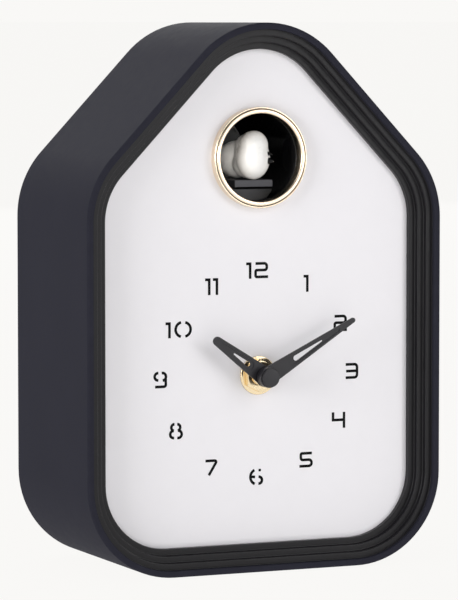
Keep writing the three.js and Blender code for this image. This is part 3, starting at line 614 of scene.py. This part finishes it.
def ribbon(pts, h=STROKE):
    """A polyline as a flat mitred strip with square ends."""
    left, right = [], []
    n = len(pts)
    for i in range(n):
        p = Vector(pts[i])
        if i == 0:
            t = (Vector(pts[1]) - p).normalized()
            nrm = Vector((-t.y, t.x))
            k = 1.0
        elif i == n - 1:
            t = (p - Vector(pts[i - 1])).normalized()
            nrm = Vector((-t.y, t.x))
            k = 1.0
        else:
            t0 = (p - Vector(pts[i - 1])).normalized()
            t1 = (Vector(pts[i + 1]) - p).normalized()
            n0 = Vector((-t0.y, t0.x))
            n1 = Vector((-t1.y, t1.x))
            nrm = (n0 + n1).normalized()
            k = 1.0 / max(0.4, nrm.dot(n0))
        left.append(tuple(p + nrm * h * k))
        right.append(tuple(p - nrm * h * k))
    return right + left[::-1]


def arc3(a, b, c, n=14):
    ax, ay = a
    bx, by = b
    cx, cy = c
    d = 2 * (ax * (by - cy) + bx * (cy - ay) + cx * (ay - by))
    ux = ((ax * ax + ay * ay) * (by - cy) + (bx * bx + by * by) * (cy - ay) + (cx * cx + cy * cy) * (ay - by)) / d
    uy = ((ax * ax + ay * ay) * (cx - bx) + (bx * bx + by * by) * (ax - cx) + (cx * cx + cy * cy) * (bx - ax)) / d
    r = math.hypot(ax - ux, ay - uy)
    t0, t1, t2 = (math.atan2(q[1] - uy, q[0] - ux) for q in (a, b, c))
    while t1 - t0 > math.pi:
        t1 -= 2 * math.pi
    while t1 - t0 < -math.pi:
        t1 += 2 * math.pi
    while t2 - t1 > math.pi:
        t2 -= 2 * math.pi
    while t2 - t1 < -math.pi:
        t2 += 2 * math.pi
    return [(ux + r * math.cos(t0 + (t2 - t0) * k / n), uy + r * math.sin(t0 + (t2 - t0) * k / n)) for k in range(n + 1)]


def rl(points, r):
    return fillet(points, r, n=5, closed=False)


STROKES = {
    "12": [rl([(-5.25, 129.07), (-3.42, 129.07), (-3.42, 122.75)], 0.0),
           rl([(-0.95, 129.07), (4.25, 129.07), (4.25, 126.3), (-0.91, 126.3), (-0.91, 123.43), (4.85, 123.43)], [0, 1.15, 1.0, 0.62, 0.62, 0])],
    "1": [rl([(21.35, 123.1), (23.09, 123.1), (23.09, 116.5)], 0.0)],
    "2": [rl([(35.9, 105.66), (41.1, 105.66), (41.1, 102.85), (36.0, 102.85), (36.0, 99.8), (41.75, 99.8)], [0, 1.15, 1.0, 0.62, 0.62, 0])],
    "3": [rl([(41.2, 84.89), (46.55, 84.89), (46.55, 79.27), (41.2, 79.27)], [0, 1.2, 1.2, 0]), [(41.4, 82.05), (46.4, 82.05)]],
    "4": [rl([(35.27, 64.7), (35.27, 61.39), (40.6, 61.39)], 0.0), [(40.45, 64.7), (40.45, 57.9)]],
    "5": [rl([(25.35, 47.84), (20.2, 47.84), (20.2, 45.05), (25.2, 45.05), (25.2, 42.39), (19.55, 42.39)], [0, 0.6, 0.9, 1.25, 1.25, 0])],
    "6": [arc3((-1.39, 41.9), (-3.27, 39.0), (-1.27, 36.0)), [(-3.15, 39.1), (-1.1, 38.95)], arc3((0.5, 38.95), (2.09, 37.5), (0.45, 36.05))],
    "7": [rl([(-23.9, 46.8), (-18.55, 46.8), (-22.4, 40.7)], [0, 0.62, 0])],
    "8": [arc3((-38.0, 62.95), (-39.45, 61.6), (-38.3, 60.2)), arc3((-38.3, 60.2), (-39.95, 58.6), (-38.2, 57.2)),
          arc3((-36.75, 62.95), (-35.4, 61.6), (-36.5, 60.2)), arc3((-36.5, 60.2), (-34.75, 58.5), (-36.75, 57.2))],
    "9": [arc3((-45.3, 84.65), (-46.95, 83.1), (-45.3, 81.6)), arc3((-43.75, 84.6), (-41.85, 82.9), (-43.3, 81.45)),
          rl([(-42.0, 82.4), (-41.86, 78.86), (-46.75, 78.86)], [0, 0.9, 0])],
    "10": [rl([(-42.0, 105.1), (-40.23, 105.1), (-40.23, 99.0)], 0.0), arc3((-35.0, 105.45), (-37.45, 102.45), (-35.1, 99.5)), arc3((-33.1, 105.4), (-30.65, 102.4), (-33.05, 99.55))],
    "11": [rl([(-24.05, 122.9), (-22.18, 122.9), (-22.18, 116.45)], 0.0), rl([(-20.5, 122.9), (-18.66, 122.9), (-18.66, 116.45)], 0.0)],
}
digits = []
for label, strokes in STROKES.items():
    ob = None
    for i, s in enumerate(strokes):
        part = prism("n%s_%d" % (label, i), ribbon(s), SHADE_SHEET_Y0, SHADE_SHEET_Y1)
        if ob is None:
            ob = part
        else:
            boolean(ob, part, "UNION", solver="EXACT")
    digits.append(ob)
dot = prism("n6_dot", fillet([(0.5, 41.2), (1.62, 41.2), (1.62, 42.3), (0.5, 42.3)], 0.2, n=3), SHADE_SHEET_Y0, SHADE_SHEET_Y1)
digits.append(dot)
numerals = join_objects("dial_numerals", digits)
place(numerals, "case", NUMERAL_PAINTED_SHADE, "housing_black")


# ---- bird -------------------------------------------------------------------------------------------------
def ellipsoid(bm, c, r, seg=48, rings=24, rot=None):
    res = bmesh.ops.create_uvsphere(bm, u_segments=seg, v_segments=rings, radius=1.0)
    mtx = Matrix.Translation(Vector(c) * MM) @ (rot or Matrix.Identity(4)) @ Matrix.Diagonal((r[0] * MM, r[1] * MM, r[2] * MM, 1.0))
    bmesh.ops.transform(bm, matrix=mtx, verts=res["verts"])


def blob(name, lumps, voxel=0.45, smooth_steps=24, factor=0.5, subdiv=0):
    bm = bmesh.new()
    for l in lumps:
        ellipsoid(bm, *l)
    ob = new_object(name, bm, 0)
    r = ob.modifiers.new("remesh", "REMESH")
    r.mode = "VOXEL"
    r.voxel_size = voxel * MM
    r.adaptivity = 0.0
    s = ob.modifiers.new("smooth", "SMOOTH")
    s.factor = factor
    s.iterations = smooth_steps
    apply_modifiers(ob)
    finish_shading(ob, 0)
    return ob


bird = blob("bird_shape", [
    ((0, -26.3, 178.65), (6.15, 6.2, 6.15)),
    ((0, -25.6, 173.1), (7.2, 7.1, 9.0)),
    ((0, -9.5, 172.2), (7.7, 11.0, 8.0)),
    ((0, 1.0, 171.6), (5.9, 8.0, 5.4)),
    ((0, -18.0, 172.8), (5.3, 8.0, 7.2)),
    ((0, -21.0, 170.6), (6.5, 7.6, 6.3)),
    ((0, -21.8, 177.4), (6.1, 6.8, 6.3)),
])
place(bird, "bird", MAT["bird_white"], "bird_white", "bird_figure")


def beak_half(name, base, tip, w, h, lift):
    """A pointed, slightly hooked half beak."""
    bm = bmesh.new()
    base, tip = Vector(base), Vector(tip)
    d = (tip - base)
    side = Vector((d.y, -d.x, 0)).normalized()
    up = Vector((0, 0, 1))
    rings = []
    for k in range(9):
        t = k / 8
        s = (1 - t) ** 0.75
        c = base + d * t + up * (lift * math.sin(math.pi * t))
        if k == 8:
            rings.append([bm.verts.new(c * MM)])
            break
        rings.append([bm.verts.new((c + side * (w * s * math.cos(2 * math.pi * j / 20)) + up * (h * s * math.sin(2 * math.pi * j / 20))) * MM) for j in range(20)])
    bm.faces.new(rings[0])
    for p, q in zip(rings, rings[1:]):
        for j in range(20):
            i = (j + 1) % 20
            if len(q) == 1:
                bm.faces.new((p[j], p[i], q[0]))
            else:
                bm.faces.new((p[j], p[i], q[i], q[j]))
    return new_object(name, bm, 40)


beak = join_objects("beak_pair", [beak_half("beak_u", (4.0, -29.6, 175.0), (6.5, -31.75, 174.6), 1.2, 1.25, 0.3), beak_half("beak_l", (4.0, -29.6, 172.3), (6.85, -32.0, 171.9), 1.5, 2.0, 0.0)])
place(beak, "bird", BEAK, "gloss_black", "bird_beak")
softened("bird_carriage", 0.25, 3)
lip_ring = []
for k in range(41):
    t = math.radians(180 + 42) + (math.radians(360 - 42) - math.radians(180 + 42)) * k / 40
    lip_ring.append((18.45 * math.cos(t), WINDOW_Z + 18.45 * math.sin(t)))
lip_ring = [p for p in lip_ring if p[1] < 160.2]
lip_ring = [(lip_ring[0][0] - 0.2, 160.25)] + lip_ring[:-9] + [(8.4, 159.2), (8.4, 160.25)]
lip = prism("tunnel_lip", lip_ring, -26.4, -24.9)
bevelled(lip, 0.35, 3, 40)
# the lip wears the material with the painted shade darkening towards its +x end
place(lip, "case", LIP_PAINTED_SHADE, "carriage_grey")

# ---- back: cover, door, knob, switch, button, screws ---------------------------------------------------------
def grown(ring, d):
    """A ring with every side moved out by d."""
    m = len(ring)
    area2 = sum(ring[i][0] * ring[(i + 1) % m][1] - ring[(i + 1) % m][0] * ring[i][1] for i in range(m))
    sgn = 1 if area2 > 0 else -1
    out = []
    for i in range(m):
        a, p, b = Vector(ring[i - 1]), Vector(ring[i]), Vector(ring[(i + 1) % m])
        u, v = (p - a).normalized(), (b - p).normalized()
        nu, nv = Vector((u.y, -u.x)) * sgn, Vector((v.y, -v.x)) * sgn
        n = (nu + nv).normalized()
        out.append(tuple(p + n * (d / max(0.5, n.dot(nu)))))
    return out


def loft(name, rows, smooth=28.0):
    """Rings of the same count, each at its own y, closed at both ends."""
    bm = bmesh.new()
    vs = [[bm.verts.new((x * MM, y * MM, z * MM)) for x, z in ring] for ring, y in rows]
    bm.faces.new(vs[0])
    bm.faces.new(vs[-1][::-1])
    n = len(vs[0])
    for p, q in zip(vs, vs[1:]):
        for k in range(n):
            j = (k + 1) % n
            bm.faces.new((p[k], q[k], q[j], p[j]))
    return new_object(name, bm, smooth)


def disc(cx, cz, r, n=48):
    return [(cx + r * math.cos(2 * math.pi * k / n), cz + r * math.sin(2 * math.pi * k / n)) for k in range(n)]


def panel(x0, x1, z0, z1, r, n=6):
    return fillet([(x0, z0), (x1, z0), (x1, z1), (x0, z1)], r, n=n)


CI = STEP_W + 0.3                                               # the cover sits this far inside the case's outside
cover = loft("cover_plate", [(house(CI + 0.3), 36.9), (house(CI), 37.2), (house(CI), 38.75), (house(CI + 0.1), 39.0), (house(CI + 0.35), 39.1)])
key = [(4.5 * math.cos(math.radians(120 + 300 * k / 40)), 186 + 4.5 * math.sin(math.radians(120 + 300 * k / 40))) for k in range(41)]
key += [(2.2 * math.cos(math.pi * k / 18), 195 + 2.2 * math.sin(math.pi * k / 18)) for k in range(19)]
openings = [(panel(-28.5, 28.5, 31.4, 64.6, 1.2), 0.25), (disc(0, 102, 10.5, 72), 0.3), (disc(61, 122, 3.6), 0.25),
            (panel(37.7, 50.3, 119.8, 124.2, 0.5), 0.25), (key, 0.25)]
for k in range(-3, 4):
    h = math.sqrt(17 * 17 - (4.6 * k) ** 2)
    openings.append((panel(-36 - h, -36 + h, 128 + 4.6 * k - 1, 128 + 4.6 * k + 1, 0.9), 0.22))
for x, z in SCREWS:
    openings.append((disc(x, z, 1.6, 32), 0.2))
for ring_at, lead in openings:
    boolean(cover, loft("opening", [(ring_at, 36.5), (ring_at, 39.1 - lead), (grown(ring_at, lead), 39.1), (grown(ring_at, lead), 39.4)]))
finish_shading(cover, 28)
place(cover, "case", MAT["case_plastic"], "case_plastic", "rear_cover")
rails = []
for side in (-1, 1):
    mid = 48.0
    o, i, lip_z = mid + side * 21.6, mid + side * 19.9, mid + side * 18.4
    sec = fillet([(39.02, o), (40.8, o), (40.8, lip_z), (40.2, lip_z), (40.2, i), (39.02, i)], [0, 0.35, 0.25, 0.2, 0.15, 0], n=4)
    bm = bmesh.new()
    e0 = [bm.verts.new((-33.3 * MM, y * MM, z * MM)) for y, z in sec]
    e1 = [bm.verts.new((33.3 * MM, y * MM, z * MM)) for y, z in sec]
    bm.faces.new(e0)
    bm.faces.new(e1[::-1])
    for k in range(len(sec)):
        j = (k + 1) % len(sec)
        bm.faces.new((e0[k], e1[k], e1[j], e0[j]))
    rails.append(new_object("rail_at_%d" % int(o), bm, 30))
rails.append(prism("rail_stop", panel(-33.3, -31.8, 28.0, 68.0, 0.2), 39.02, 40.5))
rails = join_objects("cover_rails", rails)
place(rails, "case", MAT["case_plastic"], "case_plastic")
softened("battery_door", 0.2, 2)
softened("set_knob", 0.18, 2)
softened("sound_switch", 0.15, 2)
softened("test_button", 0.25, 3)
for i in range(1, 7):
    softened("cover_screw_%d" % i, 0.15, 2)
for n in ("speaker_frame", "battery_box", "movement_base", "movement_cover", "bird_motor", "bird_drive_frame"):
    softened(n, 0.2, 2)

# ---- stage, lights and camera ------------------------------------------------------------------------------------
floor_mesh = bpy.data.meshes.new("floor")
bm = bmesh.new()
bmesh.ops.create_circle(bm, cap_ends=True, radius=400.0, segments=96)
bmesh.ops.translate(bm, verts=bm.verts, vec=(0, 0, -0.0002))
bm.to_mesh(floor_mesh)
bm.free()
floor = bpy.data.objects.new("floor", floor_mesh)
scene.collection.objects.link(floor)
fm = bpy.data.materials.new("floor_pale")
fm.use_nodes = True
nt = fm.node_tree
nt.nodes.clear()
fo = nt.nodes.new("ShaderNodeOutputMaterial")
fd = nt.nodes.new("ShaderNodeBsdfDiffuse")
fe = nt.nodes.new("ShaderNodeEmission")
fa = nt.nodes.new("ShaderNodeAddShader")
fd.inputs["Color"].default_value = (0.02, 0.02, 0.02, 1)
fe.inputs["Color"].default_value = lin(250, 249, 247)
fe.inputs["Strength"].default_value = 0.975
nt.links.new(fd.outputs[0], fa.inputs[0])
nt.links.new(fe.outputs[0], fa.inputs[1])
nt.links.new(fa.outputs[0], fo.inputs[0])
floor_mesh.materials.append(fm)

world = bpy.data.worlds.new("studio")
scene.world = world
world.use_nodes = True
nt = world.node_tree
nt.nodes.clear()
wo = nt.nodes.new("ShaderNodeOutputWorld")
wa = nt.nodes.new("ShaderNodeBackground")
wb = nt.nodes.new("ShaderNodeBackground")
wm = nt.nodes.new("ShaderNodeMixShader")
lp = nt.nodes.new("ShaderNodeLightPath")
wa.inputs["Color"].default_value = (1, 1, 1, 1)
wa.inputs["Strength"].default_value = 0.10
wb.inputs["Color"].default_value = lin(249, 248, 246)
wb.inputs["Strength"].default_value = 1.0
nt.links.new(lp.outputs["Is Camera Ray"], wm.inputs[0])
nt.links.new(wa.outputs[0], wm.inputs[1])
nt.links.new(wb.outputs[0], wm.inputs[2])
nt.links.new(wm.outputs[0], wo.inputs[0])


def area(name, az, el, dist, size, power, target=(0, 0, 0.12), size_y=None, colour=(1, 1, 1)):
    """az is measured from straight in front of the dial towards the right-hand side."""
    a, e = math.radians(az), math.radians(el)
    d = Vector((math.sin(a) * math.cos(e), -math.cos(a) * math.cos(e), math.sin(e)))
    li = bpy.data.lights.new(name, "AREA")
    li.shape = "RECTANGLE"
    li.size = size
    li.size_y = size_y or size
    li.energy = power
    li.color = colour
    ob = bpy.data.objects.new(name, li)
    ob.location = Vector(target) + d * dist
    ob.rotation_euler = (-d).to_track_quat("-Z", "Y").to_euler()
    scene.collection.objects.link(ob)
    return ob


LIGHTS = [
    ("left_low", -72, 5, 2.2, 1.0, 24.1),
    ("left_mid", -72, 30, 2.2, 1.0, 7.0),
    ("front_low", 10, 5, 2.2, 1.0, 2.1),
    ("front_mid", 10, 30, 2.2, 1.0, 6.2),
    ("right_low", 38, 5, 2.2, 1.0, 9.8),
    ("right_mid", 38, 30, 2.2, 1.0, 6.4),
    ("roof_left", -110, 64, 2.2, 1.0, 8.0),
    ("back", 170, 26, 2.6, 2.6, 54.0),
    ("back_right", 112, 28, 2.4, 1.4, 8.0),
]
for nm, az, el, dist, size, power in LIGHTS:
    area(nm, az, el, dist, size, power)

snoot = bpy.data.lights.new("window_snoot", "SPOT")          # a narrow light into the bird's window
snoot.energy = 10.0
snoot.spot_size = math.radians(1.45)
snoot.spot_blend = 0.25
snoot.shadow_soft_size = 0.003
snoot_ob = bpy.data.objects.new("window_snoot", snoot)
sa, se = math.radians(-19), math.radians(6)
sd = Vector((math.sin(sa) * math.cos(se), -math.cos(sa) * math.cos(se), math.sin(se)))
snoot_ob.location = Vector((-0.0005, -0.0305, WINDOW_Z * MM)) + sd * 1.5
snoot_ob.rotation_euler = (-sd).to_track_quat("-Z", "Y").to_euler()
scene.collection.objects.link(snoot_ob)

side = bpy.data.lights.new("flank_snoot", "SPOT")             # and a warmer, narrower one on the bird's flank
side.energy = 44.0
side.color = (1.0, 0.955, 0.9)
side.spot_size = math.radians(0.5)
side.spot_blend = 1.0
side.shadow_soft_size = 0.001
side_ob = bpy.data.objects.new("flank_snoot", side)
sa, se = math.radians(-22.5), math.radians(4)
sd = Vector((math.sin(sa) * math.cos(se), -math.cos(sa) * math.cos(se), math.sin(se)))
side_ob.location = Vector((-0.0055, -0.018, 0.1725)) + sd * 1.5
side_ob.rotation_euler = (-sd).to_track_quat("-Z", "Y").to_euler()
scene.collection.objects.link(side_ob)

cam = bpy.data.cameras.new("camera")
cam.lens = 217.996
cam.sensor_width = 36.0
cam.sensor_fit = "AUTO"
cam.shift_x = 0.00144
cam.shift_y = -0.01327
cam.clip_start = 0.05
cam.clip_end = 2000
cam.dof.use_dof = False
cam_ob = bpy.data.objects.new("camera", cam)
scene.collection.objects.link(cam_ob)
cam_ob.location = (-0.63024, -1.41559, 0.23110)
az, el = math.radians(23.999), math.radians(-4.285)
fwd = Vector((math.sin(az) * math.cos(el), math.cos(az) * math.cos(el), math.sin(el)))
cam_ob.rotation_euler = fwd.to_track_quat("-Z", "Y").to_euler()
scene.camera = cam_ob
scene.view_settings.view_transform = "Standard"
scene.view_settings.look = "None"
scene.view_settings.exposure = 0.0
scene.view_settings.gamma = 1.0
